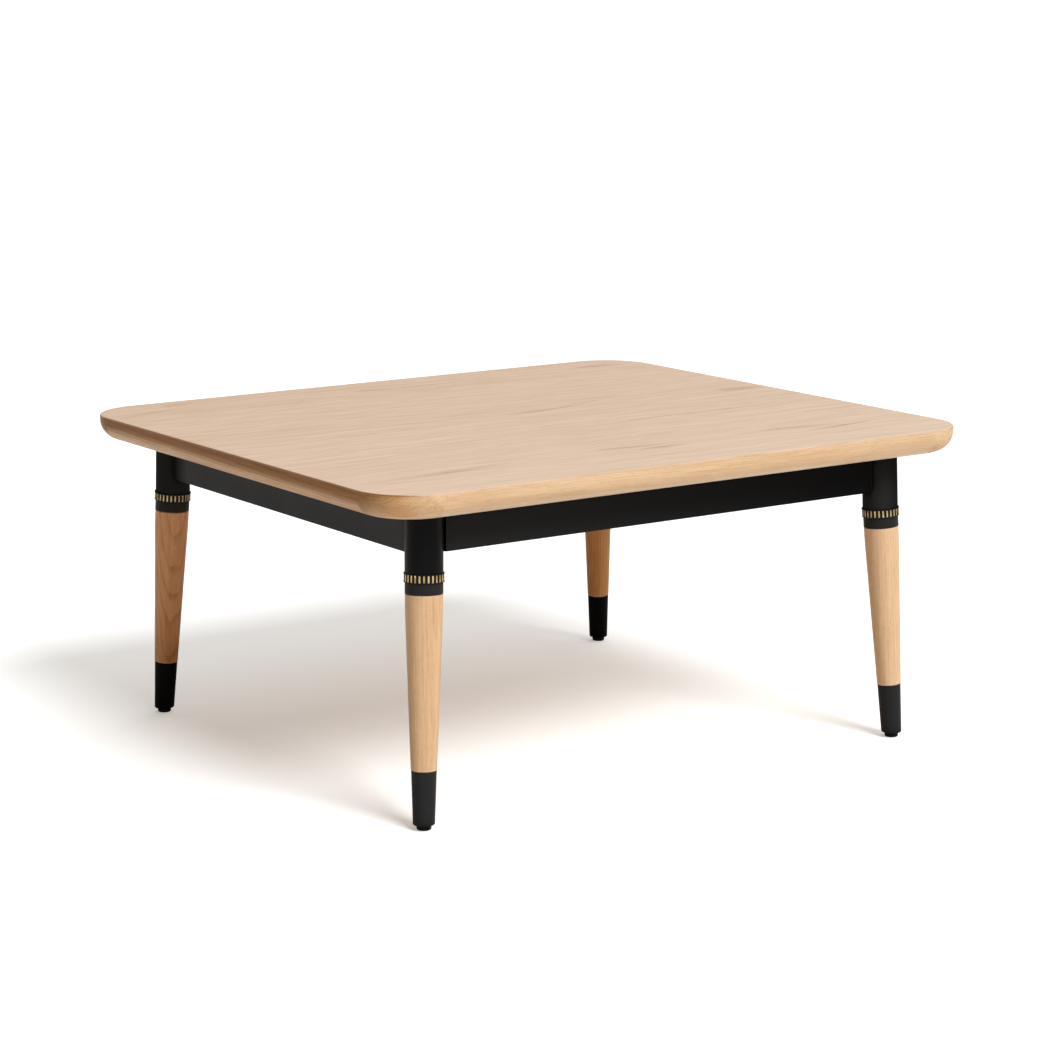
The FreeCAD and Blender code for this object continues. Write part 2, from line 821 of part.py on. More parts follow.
def check():
    for thing in doc.Objects:
        if "Invalid" in thing.State or "Error" in thing.State:
            raise RuntimeError(f"{thing.Name}: {thing.State}")
    for label, thing in nodes.items():
        if thing.Shape.isNull() or not thing.Shape.isValid() or not thing.Shape.Solids:
            raise RuntimeError(f"{label}: no valid solid")


def export():
    os.makedirs("parts", exist_ok=True)
    for label, thing in nodes.items():
        thing.Shape.exportStep(f"parts/{label}.step")


build_top()
build_frame()
build_legs()
doc.recompute()
check()
export()
print(len(nodes), "sub-parts")
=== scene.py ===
import math
from typing import NamedTuple

import bpy
from mathutils import Matrix, Quaternion, Vector


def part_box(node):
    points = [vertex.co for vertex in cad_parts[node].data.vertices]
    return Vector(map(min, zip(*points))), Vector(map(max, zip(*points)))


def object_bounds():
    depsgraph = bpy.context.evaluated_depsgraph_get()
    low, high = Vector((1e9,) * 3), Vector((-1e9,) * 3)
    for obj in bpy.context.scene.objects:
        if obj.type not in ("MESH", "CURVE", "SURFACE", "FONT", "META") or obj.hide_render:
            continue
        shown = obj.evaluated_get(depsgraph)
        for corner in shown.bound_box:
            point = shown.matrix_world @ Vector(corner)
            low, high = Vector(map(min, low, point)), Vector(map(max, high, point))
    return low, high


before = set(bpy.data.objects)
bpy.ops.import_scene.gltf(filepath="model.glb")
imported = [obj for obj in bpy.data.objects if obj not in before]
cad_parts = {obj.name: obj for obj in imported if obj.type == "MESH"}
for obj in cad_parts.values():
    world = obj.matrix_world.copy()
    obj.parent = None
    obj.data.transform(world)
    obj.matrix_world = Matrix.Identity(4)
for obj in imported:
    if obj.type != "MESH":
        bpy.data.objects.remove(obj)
cad_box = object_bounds()

CORNERS = ["front_left", "front_right", "back_right", "back_left"]
SIDES = ["front", "right", "back", "left"]
X_AXIS, Y_AXIS = 0, 1

# The photograph's camera, in degrees, millimetres and metres. Its azimuth is counted from Y towards X.
CAMERA_AZIMUTH = 34.1592
CAMERA_ELEVATION = 11.1907
CAMERA_ROLL = 0.1925
CAMERA_LENS = 100.64
CAMERA_SENSOR = 36.0
CAMERA_PLACE = (-2.16149, -3.19303, 1.03907)
CAMERA_REACH = 500.0

# A soft lamp high in front of the table, a broad fill from its right, and a weak light from all round.
# A lamp's angle is how wide it looks from the table, in degrees.
LAMP_FROM = (0.038, -0.719, 0.694)
LAMP_STRENGTH = 2.60
LAMP_ANGLE = 25.0
FILL_FROM = (0.469, -0.008, 0.883)
FILL_STRENGTH = 1.15
FILL_ANGLE = 86.0
LAMP_DISTANCE = 5.0
AMBIENT = 0.02
BACKDROP_WHITE = 1.0

# The floor's colour as it lights the table, and as the camera sees it: a part that takes the shadow, and a
# part that glows. Then half its width, and how far it lies under the glides.
FLOOR_BOUNCE = (0.90, 0.81, 0.72)
FLOOR_SHADED = (0.95, 0.98, 0.99)
FLOOR_GLOW = (0.412, 0.390, 0.366)
FLOOR_REACH = 120.0
FLOOR_GAP = 0.0002

# Spans that values are graded from, all of nought to one and the middle of a noise, and a noise's mean.
WHOLE = (0.0, 1.0)
NOISE_MIDDLE = (0.3, 0.7)
NOISE_MEAN = 0.5

# The lacquer on the wood.
COAT_ROUGHNESS = 0.18
COAT_IOR = 1.25

# Blender's wave texture counts its coordinate this many times over.
WAVE_FACTOR = 20
# The places of a mix node's colour sockets, after those for numbers and vectors.
MIX_AMOUNT, MIX_FIRST, MIX_SECOND, MIX_RESULT = 0, 6, 7, 2
# The cosine between the true and the rounded normal where an edge's wear begins, and where it is full.
EDGE_COSINES = (0.995, 0.90)
EDGE_SAMPLES = 4


class Graph:
    """The nodes of a material or a world. Most calls add a node and give back its output."""

    def __init__(self, owner, output):
        owner.use_nodes = True
        self.owner = owner
        self.tree = owner.node_tree
        self.tree.nodes.clear()
        self.out = self.tree.nodes.new(output)

    def put(self, socket, value):
        """Feed a socket from another node's output, or set it to a plain value."""
        if isinstance(value, bpy.types.NodeSocket):
            self.tree.links.new(value, socket)
        elif socket.type == "RGBA" and len(value) == 3:
            socket.default_value = (*value, 1.0)
        else:
            socket.default_value = value

    def node(self, kind, settings=None, **inputs):
        """A new node. Its inputs go by name, with _ for a space."""
        node = self.tree.nodes.new(kind)
        for key, value in (settings or {}).items():
            setattr(node, key, value)
        for key, value in inputs.items():
            self.put(node.inputs[key.replace("_", " ")], value)
        return node

    def ordered(self, kind, settings, *values):
        """A new node. Its inputs go by their order."""
        node = self.node(kind, settings)
        for socket, value in zip(node.inputs, values):
            self.put(socket, value)
        return node

    def position(self):
        return self.node("ShaderNodeTexCoord").outputs["Object"]

    def normal(self):
        return self.node("ShaderNodeNewGeometry").outputs["Normal"]

    def into_frame(self, vector, place, turn, size=(1.0, 1.0, 1.0)):
        """The vector as seen from a frame that stands at a place, turned by an Euler and scaled to a size."""
        return self.node("ShaderNodeMapping", {"vector_type": "TEXTURE"}, Vector=vector, Location=place,
                         Rotation=turn, Scale=size).outputs[0]

    def vector_math(self, operation, a, b):
        return self.ordered("ShaderNodeVectorMath", {"operation": operation}, a, b)

    def scaled(self, vector, scale):
        return self.vector_math("MULTIPLY", vector, scale).outputs["Vector"]

    def moved(self, vector, shift):
        return self.vector_math("ADD", vector, shift).outputs["Vector"]

    def dot(self, a, b):
        return self.vector_math("DOT_PRODUCT", a, b).outputs["Value"]

    def parts(self, vector):
        return self.node("ShaderNodeSeparateXYZ", Vector=vector).outputs

    def joined(self, x, y, z):
        return self.node("ShaderNodeCombineXYZ", X=x, Y=y, Z=z).outputs[0]

    def calc(self, operation, *values):
        return self.ordered("ShaderNodeMath", {"operation": operation}, *values).outputs[0]

    def times(self, a, b):
        return self.calc("MULTIPLY", a, b)

    def plus(self, a, b):
        return self.calc("ADD", a, b)

    def minus(self, a, b):
        return self.calc("SUBTRACT", a, b)

    def weighted(self, first, *others):
        """The sum of pairs of a value and its weight."""
        total = self.times(*first)
        for pair in others:
            total = self.plus(total, self.times(*pair))
        return total

    def noise(self, vector, scale, detail, roughness=0.5):
        """Noise with so many repeats in a metre, or so many along each axis."""
        if isinstance(scale, tuple):
            vector, scale = self.scaled(vector, scale), 1.0
        return self.node("ShaderNodeTexNoise", Vector=vector, Scale=scale, Detail=detail,
                         Roughness=roughness).outputs["Fac"]

    def saw_wave(self, vector, spacing, settings, distortion, detail, detail_scale):
        """A wave that rises slowly and drops at once, each tooth a spacing from the next."""
        return self.node("ShaderNodeTexWave", {"wave_profile": "SAW", **settings}, Vector=vector,
                         Scale=2 * math.pi / (WAVE_FACTOR * spacing), Distortion=distortion, Detail=detail,
                         Detail_Scale=detail_scale).outputs["Fac"]

    def grade(self, value, span, to=WHOLE, smooth=True):
        """The value's span taken to another span and held at its ends."""
        settings = {"interpolation_type": "SMOOTHSTEP" if smooth else "LINEAR"}
        return self.node("ShaderNodeMapRange", settings, Value=value, From_Min=span[0], From_Max=span[1],
                         To_Min=to[0], To_Max=to[1]).outputs[0]

    def mix(self, amount, a, b, blend="MIX"):
        node = self.node("ShaderNodeMix", {"data_type": "RGBA", "blend_type": blend})
        self.put(node.inputs[MIX_AMOUNT], amount)
        self.put(node.inputs[MIX_FIRST], a)
        self.put(node.inputs[MIX_SECOND], b)
        return node.outputs[MIX_RESULT]

    def mix_shaders(self, amount, a, b):
        return self.ordered("ShaderNodeMixShader", None, amount, a, b).outputs[0]

    def edge_mask(self, radius):
        """One near the edges of the shape, nought on its flats."""
        rounded = self.node("ShaderNodeBevel", {"samples": EDGE_SAMPLES}, Radius=radius).outputs[0]
        return self.grade(self.dot(rounded, self.normal()), EDGE_COSINES)

    def bump(self, height, distance, strength):
        return self.node("ShaderNodeBump", Height=height, Distance=distance, Strength=strength).outputs[0]

    def surface(self, shader):
        """End in a shader and give back the material or the world."""
        self.put(self.out.inputs["Surface"], shader)
        return self.owner

    def finish(self, base, roughness, normal, metallic=0.0, specular=0.5, coat=0.0):
        """End in one shader for all kinds of surface, and give back the material."""
        shader = self.node("ShaderNodeBsdfPrincipled", Base_Color=base, Roughness=roughness, Normal=normal,
                           Metallic=metallic, Specular_IOR_Level=specular, Coat_Weight=coat,
                           Coat_Roughness=COAT_ROUGHNESS, Coat_IOR=COAT_IOR)
        return self.surface(shader.outputs[0])


def material_graph(name):
    return Graph(bpy.data.materials.new(name), "ShaderNodeOutputMaterial")


def dress(node, material):
    """Give a CAD node one material all over."""
    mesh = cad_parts[node].data
    mesh.materials.clear()
    mesh.materials.append(material)
    for face in mesh.polygons:
        face.material_index = 0


def middle(node):
    low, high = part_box(node)
    return (low + high) / 2


def leg_frame(corner):
    """The leg's foot on its axis and the Euler that turns Z along it, from the glide and the brass ring."""
    foot = middle(f"glide_{corner}")
    foot.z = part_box(f"glide_{corner}")[0].z
    axis = middle(f"brass_ring_{corner}") - foot
    return foot, axis.to_track_quat("Z", "X").to_euler()


# Dark flame marks in the face veneer: middle in X and Y, half length, half width, slant and depth.
FLAME_MARKS = [
    (-0.325, 0.368, 0.035, 0.013, 0.10, 0.9),
    (-0.380, 0.325, 0.060, 0.008, 0.28, 0.8),
    (-0.030, 0.328, 0.035, 0.011, 0.0, 0.9),
    (0.060, 0.326, 0.090, 0.006, 0.0, 0.6),
    (0.362, 0.340, 0.060, 0.017, 0.10, 1.1),
    (0.400, 0.044, 0.050, 0.018, 0.0, 1.4),
    (0.065, 0.039, 0.080, 0.009, 0.10, 0.9),
    (0.138, 0.058, 0.060, 0.015, 0.30, 0.75),
    (-0.280, 0.101, 0.220, 0.008, 0.0, 0.6),
    (-0.260, 0.002, 0.200, 0.006, 0.03, 0.5),
    (-0.360, -0.108, 0.090, 0.006, 0.0, 0.5),
    (0.200, -0.096, 0.260, 0.005, 0.0, 0.45),
    (-0.315, -0.288, 0.120, 0.009, 0.06, 1.2),
    (-0.015, -0.268, 0.060, 0.008, -0.08, 0.8),
    (0.018, -0.291, 0.050, 0.010, 0.0, 1.1),
    (0.245, -0.268, 0.065, 0.008, -0.08, 0.9),
    (0.305, -0.292, 0.080, 0.010, 0.18, 1.1),
]

# Repeats in a metre of the veneer's patterns. They are drawn out along X, the way of the grain.
LEAF_SWAY = (1.4, 5.0, 1.0)
LEAF_BANDS = (0.8, 16.0, 1.0)
LEAF_LINES = (4.5, 150.0, 1.0)
LEAF_FIBRES = (16.0, 460.0, 1.0)
LEAF_PORES = (70.0, 1400.0, 1.0)
FLAME_FRAY = (14.0, 150.0, 1.0)
# In metres: how far the grain sways, how far the flames fray, the growth rings' spacing, and the arris that
# is painted pale as wear and as a highlight.
LEAF_SWAY_WIDTH = 0.03
FLAME_FRAY_WIDTH = 0.012
LEAF_RING_SPACING = 0.009
LEAF_ARRIS = 0.0015
# The part of a growth ring that is late wood, its mean, and the parts of noises that make tones and pores.
LEAF_LATE_WOOD = (0.45, 1.0)
LEAF_LATE_MEAN = 0.25
LEAF_TONES = (0.36, 0.66)
LEAF_TONE_RANGE = (0.0, 0.65)
LEAF_PORE_TIPS = (0.60, 0.74)
# Painted shade: the veneer darkens from the front of the table to its back.
LEAF_DEPTH = (-0.4, 0.4)
LEAF_PAINTED_SHADE = (0.0, 0.60)
# The part of the grain that streaks the flames, and how strong they are in it.
FLAME_STREAKS = (0.38, 0.60)
FLAME_STREAK_RANGE = (0.20, 1.0)
# How far a face has turned to X where end grain begins to show, and where it shows fully.
END_GRAIN_TURN = (0.25, 0.70)
# Colours laid over the wood, and how much they cover.
FLAME_BROWN, FLAME_COVER = (0.34, 0.11, 0.010), 0.88
LEAF_PORE_BROWN, LEAF_PORE_COVER = (0.25, 0.14, 0.06), 0.16
END_GRAIN_BROWN, END_GRAIN_COVER = (0.30, 0.13, 0.03), 0.92
# The arris is painted pale, partly as wear and partly as a highlight.
LEAF_WEAR_AND_HIGHLIGHT, LEAF_WEAR_AND_HIGHLIGHT_COVER = (0.90, 0.72, 0.54), 0.35
LEAF_ROUGHNESS = (0.46, 0.58)
LEAF_RELIEF, LEAF_RELIEF_STRENGTH = 0.0002, 0.3


def flame_marks(graph, place):
    """How deep the flame marks are at each place, with edges frayed along the grain."""
    frayed = graph.noise(place, FLAME_FRAY, detail=3.0)
    shift = graph.joined(0.0, graph.times(graph.minus(frayed, NOISE_MEAN), FLAME_FRAY_WIDTH), 0.0)
    flat = graph.scaled(graph.moved(place, shift), (1.0, 1.0, 0.0))
    total = 0.0
    for x, y, half_length, half_width, slant, depth in FLAME_MARKS:
        local = graph.into_frame(flat, (x, y, 0.0), (0.0, 0.0, slant), (half_length, half_width, 1.0))
        spot = graph.node("ShaderNodeTexGradient", {"gradient_type": "SPHERICAL"}, Vector=local)
        total = graph.plus(total, graph.times(spot.outputs["Fac"], depth))
    return graph.calc("MINIMUM", total, 1.0)


def veneer(name, pale, dark, marked):
    """Crown-cut oak veneer in leaves along X, matt lacquered, with painted shade darkening it towards the
    back of the table, and its arris painted pale as wear and as a highlight.
    """
    graph = material_graph(name)
    place = graph.position()
    wander = graph.noise(place, LEAF_SWAY, detail=1.0)
    sway = graph.times(graph.minus(wander, NOISE_MEAN), LEAF_SWAY_WIDTH)
    along = graph.moved(place, graph.joined(0.0, sway, 0.0))
    bands = graph.noise(along, LEAF_BANDS, detail=2.0)
    lines = graph.noise(along, LEAF_LINES, detail=3.0, roughness=0.6)
    fibres = graph.noise(along, LEAF_FIBRES, detail=2.0, roughness=0.6)
    pores = graph.grade(graph.noise(along, LEAF_PORES, detail=1.0), LEAF_PORE_TIPS)
    growth = graph.saw_wave(along, LEAF_RING_SPACING, {"bands_direction": "Y"}, distortion=5.0, detail=3.0,
                            detail_scale=0.35)
    late = graph.minus(graph.grade(growth, LEAF_LATE_WOOD), LEAF_LATE_MEAN)
    shade = graph.weighted((bands, 0.16), (lines, 0.37), (fibres, 0.47), (late, 0.07))
    # Painted shade: darker towards the back of the table.
    painted_back_shade = graph.grade(graph.parts(place)[Y_AXIS], LEAF_DEPTH, LEAF_PAINTED_SHADE, smooth=False)
    tone = graph.plus(graph.grade(shade, LEAF_TONES, LEAF_TONE_RANGE), painted_back_shade)
    colour = graph.mix(tone, pale, dark)
    if marked:
        streaks = graph.weighted((lines, 0.55), (fibres, 0.45))
        streaks = graph.grade(streaks, FLAME_STREAKS, FLAME_STREAK_RANGE)
        marks = graph.times(flame_marks(graph, place), streaks)
        colour = graph.mix(graph.times(marks, FLAME_COVER), colour, FLAME_BROWN)
    colour = graph.mix(graph.times(pores, LEAF_PORE_COVER), colour, LEAF_PORE_BROWN)
    facing_x = graph.calc("ABSOLUTE", graph.parts(graph.normal())[X_AXIS])
    end_grain = graph.grade(facing_x, END_GRAIN_TURN)
    colour = graph.mix(graph.times(end_grain, END_GRAIN_COVER), colour, END_GRAIN_BROWN)
    # Painted highlight and wear: the arris turns pale, except on end grain.
    arris_wear_and_highlight = graph.times(graph.edge_mask(LEAF_ARRIS), graph.minus(1.0, end_grain))
    colour = graph.mix(graph.times(arris_wear_and_highlight, LEAF_WEAR_AND_HIGHLIGHT_COVER), colour, LEAF_WEAR_AND_HIGHLIGHT)
    roughness = graph.grade(fibres, NOISE_MIDDLE, LEAF_ROUGHNESS)
    relief = graph.bump(graph.weighted((fibres, 0.5), (pores, -0.6)), LEAF_RELIEF, LEAF_RELIEF_STRENGTH)
    return graph.finish(colour, roughness, relief, specular=0.4, coat=0.33)


class Zone(NamedTuple):
    """A tint laid over part of a piece, most of them painted light and painted shade: the way it lies, where
    along that way it begins and is full, and its tint."""
    direction: tuple
    begins: float
    full: float
    tint: tuple


class Stock(NamedTuple):
    """A piece of solid oak: where its pith line lies off the piece's own X, how that line is tilted, its two
    tones, the width and depth of its rings, its zones, and how far its grain wanders."""
    pith: tuple
    tilt: tuple
    pale: tuple
    dark: tuple
    ring_width: float
    ring_depth: float
    zones: tuple = ()
    wander: float = 0.006


# Repeats in a metre of solid wood's patterns. They are drawn out along the piece's own X.
WOOD_SWAY = (5.0, 26.0, 26.0)
WOOD_BANDS = (3.0, 90.0, 90.0)
WOOD_FIBRES = (18.0, 380.0, 380.0)
WOOD_PORES = (90.0, 1300.0, 1300.0)
# The arris that is painted pale, as wear and as a highlight, in metres.
WOOD_ARRIS = 0.0018
# The part of a growth ring that is early wood, and the parts of the noises that make tones and pores.
WOOD_EARLY_WOOD = (0.55, 1.0)
WOOD_TONES = (0.34, 0.68)
WOOD_PORE_TIPS = (0.58, 0.72)
# The rings' tint, and how strong they are from fibre to fibre.
RING_TINT, RING_STREAK_RANGE = (0.375, 0.30, 0.225), (0.5, 1.0)
WOOD_PORE_BROWN, WOOD_PORE_COVER = (0.22, 0.12, 0.05), 0.22
# Pale edges: partly wear, partly a painted highlight.
WOOD_WEAR_AND_HIGHLIGHT = (0.93, 0.77, 0.58)
WOOD_ROUGHNESS = (0.42, 0.54)
WOOD_RELIEF, WOOD_RELIEF_STRENGTH = 0.0003, 0.35


def solid_wood(name, place, turn, stock, edge_wear_and_highlight):
    """Lacquered solid oak whose grain runs along the X of a frame at a place, its edges painted pale as wear
    and as a highlight.
    """
    graph = material_graph(name)
    local = graph.into_frame(graph.position(), place, turn)
    wander = graph.noise(local, WOOD_SWAY, detail=2.0)
    sway = graph.times(graph.minus(wander, NOISE_MEAN), stock.wander)
    along = graph.moved(local, graph.joined(0.0, sway, sway))
    tilted = graph.into_frame(along, (0.0, *stock.pith), (0.0, *stock.tilt))
    rings = graph.saw_wave(tilted, stock.ring_width, {"wave_type": "RINGS", "rings_direction": "X"},
                           distortion=0.8, detail=2.0, detail_scale=0.6)
    early = graph.grade(rings, WOOD_EARLY_WOOD)
    bands = graph.noise(along, WOOD_BANDS, detail=3.0)
    fibres = graph.noise(along, WOOD_FIBRES, detail=3.0, roughness=0.6)
    pores = graph.grade(graph.noise(along, WOOD_PORES, detail=1.0), WOOD_PORE_TIPS)
    tone = graph.grade(graph.weighted((bands, 0.5), (fibres, 0.5)), WOOD_TONES)
    colour = graph.mix(tone, stock.pale, stock.dark)
    for zone in stock.zones:
        reach = graph.dot(graph.moved(local, graph.joined(0.0, 0.0, sway)), zone.direction)
        colour = graph.mix(graph.grade(reach, (zone.begins, zone.full)), colour, zone.tint, "MULTIPLY")
    ring_mark = graph.times(early, graph.grade(fibres, NOISE_MIDDLE, RING_STREAK_RANGE))
    colour = graph.mix(graph.times(ring_mark, stock.ring_depth), colour, RING_TINT, "MULTIPLY")
    colour = graph.mix(graph.times(pores, WOOD_PORE_COVER), colour, WOOD_PORE_BROWN)
    # The edges are painted pale, partly as wear and partly as a highlight.
    colour = graph.mix(graph.times(graph.edge_mask(WOOD_ARRIS), edge_wear_and_highlight), colour, WOOD_WEAR_AND_HIGHLIGHT)
    roughness = graph.grade(fibres, NOISE_MIDDLE, WOOD_ROUGHNESS)
    relief = graph.bump(graph.weighted((fibres, 0.5), (pores, -0.6)), WOOD_RELIEF, WOOD_RELIEF_STRENGTH)
    return graph.finish(colour, roughness, relief, specular=0.2, coat=0.4)


class PaintedFade(NamedTuple):
    """A painted fade of tone along an axis of the table, over a span of it, to a last tone, standing in for
    reflections and shade.
    """
    axis: int
    span: tuple
    last_tone: tuple


BLACK = (0.0, 0.0, 0.0)
POWDER_DUST, POWDER_DUST_COVER = (0.012, 0.012, 0.012), 0.10
POWDER_WORN, POWDER_WORN_COVER = (0.050, 0.049, 0.047), 0.3
# Painted shade in corners: how far the coat feels for other surfaces, and how open it lies where the
# painted shade is full and where it ends.
CORNER_SHADE_REACH = 0.025
CORNER_SHADE_OPENING = (0.40, 0.95)
CORNER_SHADE_SAMPLES = 8
# What dust adds to the roughness, and what wear takes off it.
DUST_ROUGHENS = 0.08
WEAR_SMOOTHS = 0.1
# Repeats of the pebbled skin and of the dust's clouds in a metre, and how deep the skin is.
PEBBLES, DUST_CLOUDS = 900.0, 14.0
PEBBLE_RELIEF, PEBBLE_RELIEF_STRENGTH = 0.00012, 0.4


def black_steel(name, tone, roughness, specular, worn_width, painted_fade=None):
    """Satin black powder coat: a fine pebbled skin, a little dust, edges rubbed smooth, and painted shade
    that darkens it to black in its corners and where other surfaces come close."""
    graph = material_graph(name)
    place = graph.position()
    pebbles = graph.noise(place, PEBBLES, detail=2.0)
    dust = graph.grade(graph.noise(place, DUST_CLOUDS, detail=4.0, roughness=0.65), NOISE_MIDDLE)
    worn = graph.edge_mask(worn_width)
    colour = tone
    # Painted reflection and shade: where asked, the tone fades along one axis of the table.
    if painted_fade:
        amount = graph.grade(graph.parts(place)[painted_fade.axis], painted_fade.span, smooth=False)
        colour = graph.mix(amount, tone, painted_fade.last_tone)
    colour = graph.mix(graph.times(dust, POWDER_DUST_COVER), colour, POWDER_DUST)
    colour = graph.mix(graph.times(worn, POWDER_WORN_COVER), colour, POWDER_WORN)
    # Painted shade: the colour is darkened to black in corners and where other surfaces come close.
    painted_corner_shade = graph.node("ShaderNodeAmbientOcclusion", {"samples": CORNER_SHADE_SAMPLES}, Distance=CORNER_SHADE_REACH)
    colour = graph.mix(graph.grade(painted_corner_shade.outputs["AO"], CORNER_SHADE_OPENING), BLACK, colour)
    rough = graph.plus(graph.times(dust, DUST_ROUGHENS), roughness)
    rough = graph.minus(rough, graph.times(worn, WEAR_SMOOTHS))
    skin = graph.bump(pebbles, PEBBLE_RELIEF, PEBBLE_RELIEF_STRENGTH)
    return graph.finish(colour, rough, skin, specular=specular)


# Distances from a leg's axis at which a brass ring's grooves end and its rim begins.
RING_GROOVE = (0.0233, 0.0241)
# How far each ring's brass is darkened to brown, a painted shade, most on the two rings at the back.
RING_PAINTED_SHADE = {"front_left": 0.0, "front_right": 0.10, "back_right": 0.60, "back_left": 0.45}
BRASS_BRIGHT = (0.82, 0.68, 0.41)
BRASS_DEEP = (0.44, 0.30, 0.13)
# The brown that the painted shade takes the rings towards.
BRASS_SHADED = (0.24, 0.145, 0.075)
BRASS_PATINA = (0.012, 0.009, 0.006)
# Repeats in a metre of its clouds and its turning lines, the part of the clouds that dulls it, and what they
# add to its roughness.
BRASS_CLOUDS, BRASS_TURNING = 130.0, 2600.0
BRASS_CLOUD_SPAN = (0.34, 0.66)
BRASS_CLOUD_ROUGHENS = 0.14
# From the floors of the grooves to the rim.
BRASS_ROUGHNESS = (0.75, 0.32)
BRASS_METALLIC = (0.4, 1.0)
BRASS_RELIEF, BRASS_RELIEF_STRENGTH = 0.00004, 0.5


def brass(corner):
    """Turned brass, dulled here and there, darkened ring by ring with painted shade, and with dark patina on
    the floors of the grooves.
    """
    foot, turn = leg_frame(corner)
    graph = material_graph(f"brass_{corner}")
    local = graph.into_frame(graph.position(), foot, turn)
    x, y, z = graph.parts(local)
    radius = graph.calc("SQRT", graph.plus(graph.times(x, x), graph.times(y, y)))
    face = graph.grade(radius, RING_GROOVE)
    turning = graph.noise(graph.joined(0.0, 0.0, z), BRASS_TURNING, detail=2.0)
    cloud = graph.noise(local, BRASS_CLOUDS, detail=3.0, roughness=0.6)
    gold = graph.mix(graph.grade(cloud, BRASS_CLOUD_SPAN), BRASS_BRIGHT, BRASS_DEEP)
    # Painted shade: each ring is darkened towards brown by its own amount.
    gold = graph.mix(RING_PAINTED_SHADE[corner], gold, BRASS_SHADED)
    colour = graph.mix(face, BRASS_PATINA, gold)
    roughness = graph.grade(face, WHOLE, BRASS_ROUGHNESS)
    roughness = graph.plus(roughness, graph.times(cloud, BRASS_CLOUD_ROUGHENS))
    metallic = graph.grade(face, WHOLE, BRASS_METALLIC)
    relief = graph.bump(turning, BRASS_RELIEF, BRASS_RELIEF_STRENGTH)
    return graph.finish(colour, roughness, relief, metallic=metallic)


def zinc_steel():
    """Bright zinc plating with a faint blue and yellow bloom."""
    blue_bloom, yellow_bloom = (0.58, 0.60, 0.62), (0.64, 0.61, 0.53)
    graph = material_graph("zinc_plated_steel")
    place = graph.position()
    bloom = graph.noise(place, 160.0, detail=3.0)
    scratches = graph.noise(place, (260.0, 260.0, 2400.0), detail=2.0)
    colour = graph.mix(graph.grade(bloom, (0.35, 0.65)), blue_bloom, yellow_bloom)
    roughness = graph.grade(scratches, NOISE_MIDDLE, to=(0.28, 0.46))
    relief = graph.bump(scratches, distance=0.00005, strength=0.4)
    return graph.finish(colour, roughness, relief, metallic=1.0)


def glide_plastic():
    """Moulded black nylon, finely grained."""
    deep_black, grey_black = (0.0022, 0.0022, 0.0022), (0.0050, 0.0048, 0.0046)
    graph = material_graph("black_nylon")
    place = graph.position()
    grain = graph.noise(place, 1600.0, detail=2.0)
    cloud = graph.noise(place, 90.0, detail=3.0)
    colour = graph.mix(cloud, deep_black, grey_black)
    roughness = graph.grade(cloud, NOISE_MIDDLE, to=(0.5, 0.64))
    relief = graph.bump(grain, distance=0.0001, strength=0.5)
    return graph.finish(colour, roughness, relief, specular=0.1)


def panel_core():
    """Chipboard: pressed flakes of several browns."""
    pale_flake, dark_flake, gap_brown = (0.46, 0.32, 0.19), (0.30, 0.19, 0.10), (0.14, 0.085, 0.045)
    graph = material_graph("chipboard")
    flat = graph.scaled(graph.position(), (260.0, 260.0, 700.0))
    flakes = graph.node("ShaderNodeTexVoronoi", Vector=flat, Scale=1.0)
    tone = graph.parts(flakes.outputs["Color"])[0]
    gaps = graph.grade(flakes.outputs["Distance"], (0.2, 0.7))
    colour = graph.mix(tone, pale_flake, dark_flake)
    colour = graph.mix(graph.times(gaps, 0.5), colour, gap_brown)
    roughness = graph.grade(tone, WHOLE, to=(0.75, 0.9))
    relief = graph.bump(gaps, distance=-0.0004, strength=0.6)
    return graph.finish(colour, roughness, relief, specular=0.2)


# The two tones of the veneers, the lippings and the legs.
FACE_PALE, FACE_DARK = (0.74, 0.515, 0.345), (0.53, 0.325, 0.175)
BACK_PALE, BACK_DARK = (0.66, 0.36, 0.12), (0.52, 0.27, 0.085)
OAK_PALE, OAK_DARK = (0.86, 0.62, 0.395), (0.73, 0.485, 0.28)
LEG_PALE, LEG_DARK = (0.83, 0.56, 0.335), (0.71, 0.455, 0.25)
# How much the edges take on their pale colour, as wear and as a painted highlight.
LIPPING_WEAR_AND_HIGHLIGHT = 0.08
LEG_WEAR_AND_HIGHLIGHT = 0.6
# Painted light along the lower edge of a lipping, paler and whiter where it faces the floor, and painted
# shade along its upper edge.
PAINTED_LIGHT_BELOW = Zone((0.0, 0.0, -1.0), 0.003, 0.013, (1.14, 1.34, 1.70))
PAINTED_SHADE_ABOVE = Zone((0.0, 0.0, 1.0), -0.005, 0.008, (0.55, 0.345, 0.055))

# The lippings' stock. The left one is a darker copy of the oak, a painted shade, and it and the corners at
# its ends have painted shade along their upper edges. Those corners are browner oak: the front left one is
# painted lighter towards the front and darker towards the left, the back left one paler again towards the
# back. The front right corner is darker towards its lower edge.
SIDE_STOCK = {
    "front": Stock((0.30, -0.42), (0.0, 0.02), OAK_PALE, OAK_DARK, 0.0026, 0.20, (PAINTED_LIGHT_BELOW,), 0.004),
    "right": Stock((0.22, -0.30), (0.0, 0.02), OAK_PALE, OAK_DARK, 0.0030, 0.22),
    "back": Stock((0.26, -0.35), (0.0, -0.02), OAK_PALE, OAK_DARK, 0.0028, 0.22),
    "left": Stock((0.30, -0.24), (0.0, 0.03), (0.77, 0.53, 0.35), (0.60, 0.395, 0.25), 0.0046, 0.50,
                  (PAINTED_SHADE_ABOVE, Zone((-0.015, 0.0, 1.0), 0.003, 0.014, (0.76, 0.66, 0.42)))),
}
